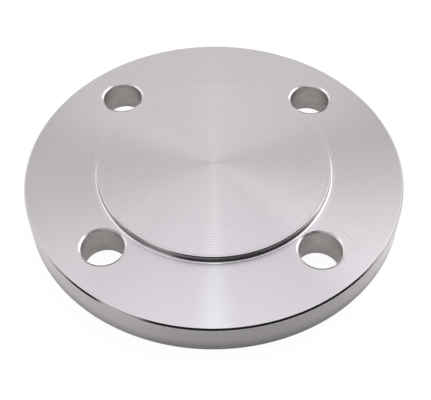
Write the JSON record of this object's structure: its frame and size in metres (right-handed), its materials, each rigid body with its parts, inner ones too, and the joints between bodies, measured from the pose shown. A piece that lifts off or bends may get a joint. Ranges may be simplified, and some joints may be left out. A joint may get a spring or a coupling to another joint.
{
  "type": "blind pipe flange",
  "caption": "Round steel blind flange with a raised, finely grooved gasket face and a ring of bolt holes, for closing the end of a flanged pipe.",
  "frame": {"origin": "centre of the flat back face, on the flange's axis", "axes": "+Z along the flange's axis, out of the raised gasket face; the bolt holes lie on the diagonals between +X and +Y"},
  "size_m": [0.165, 0.165, 0.018],
  "materials": {
    "steel": "stainless steel, turned all over, with fine circular tool marks"
  },
  "bodies": {
    "root": {"flange": "steel"}
  },
  "joints": []
}
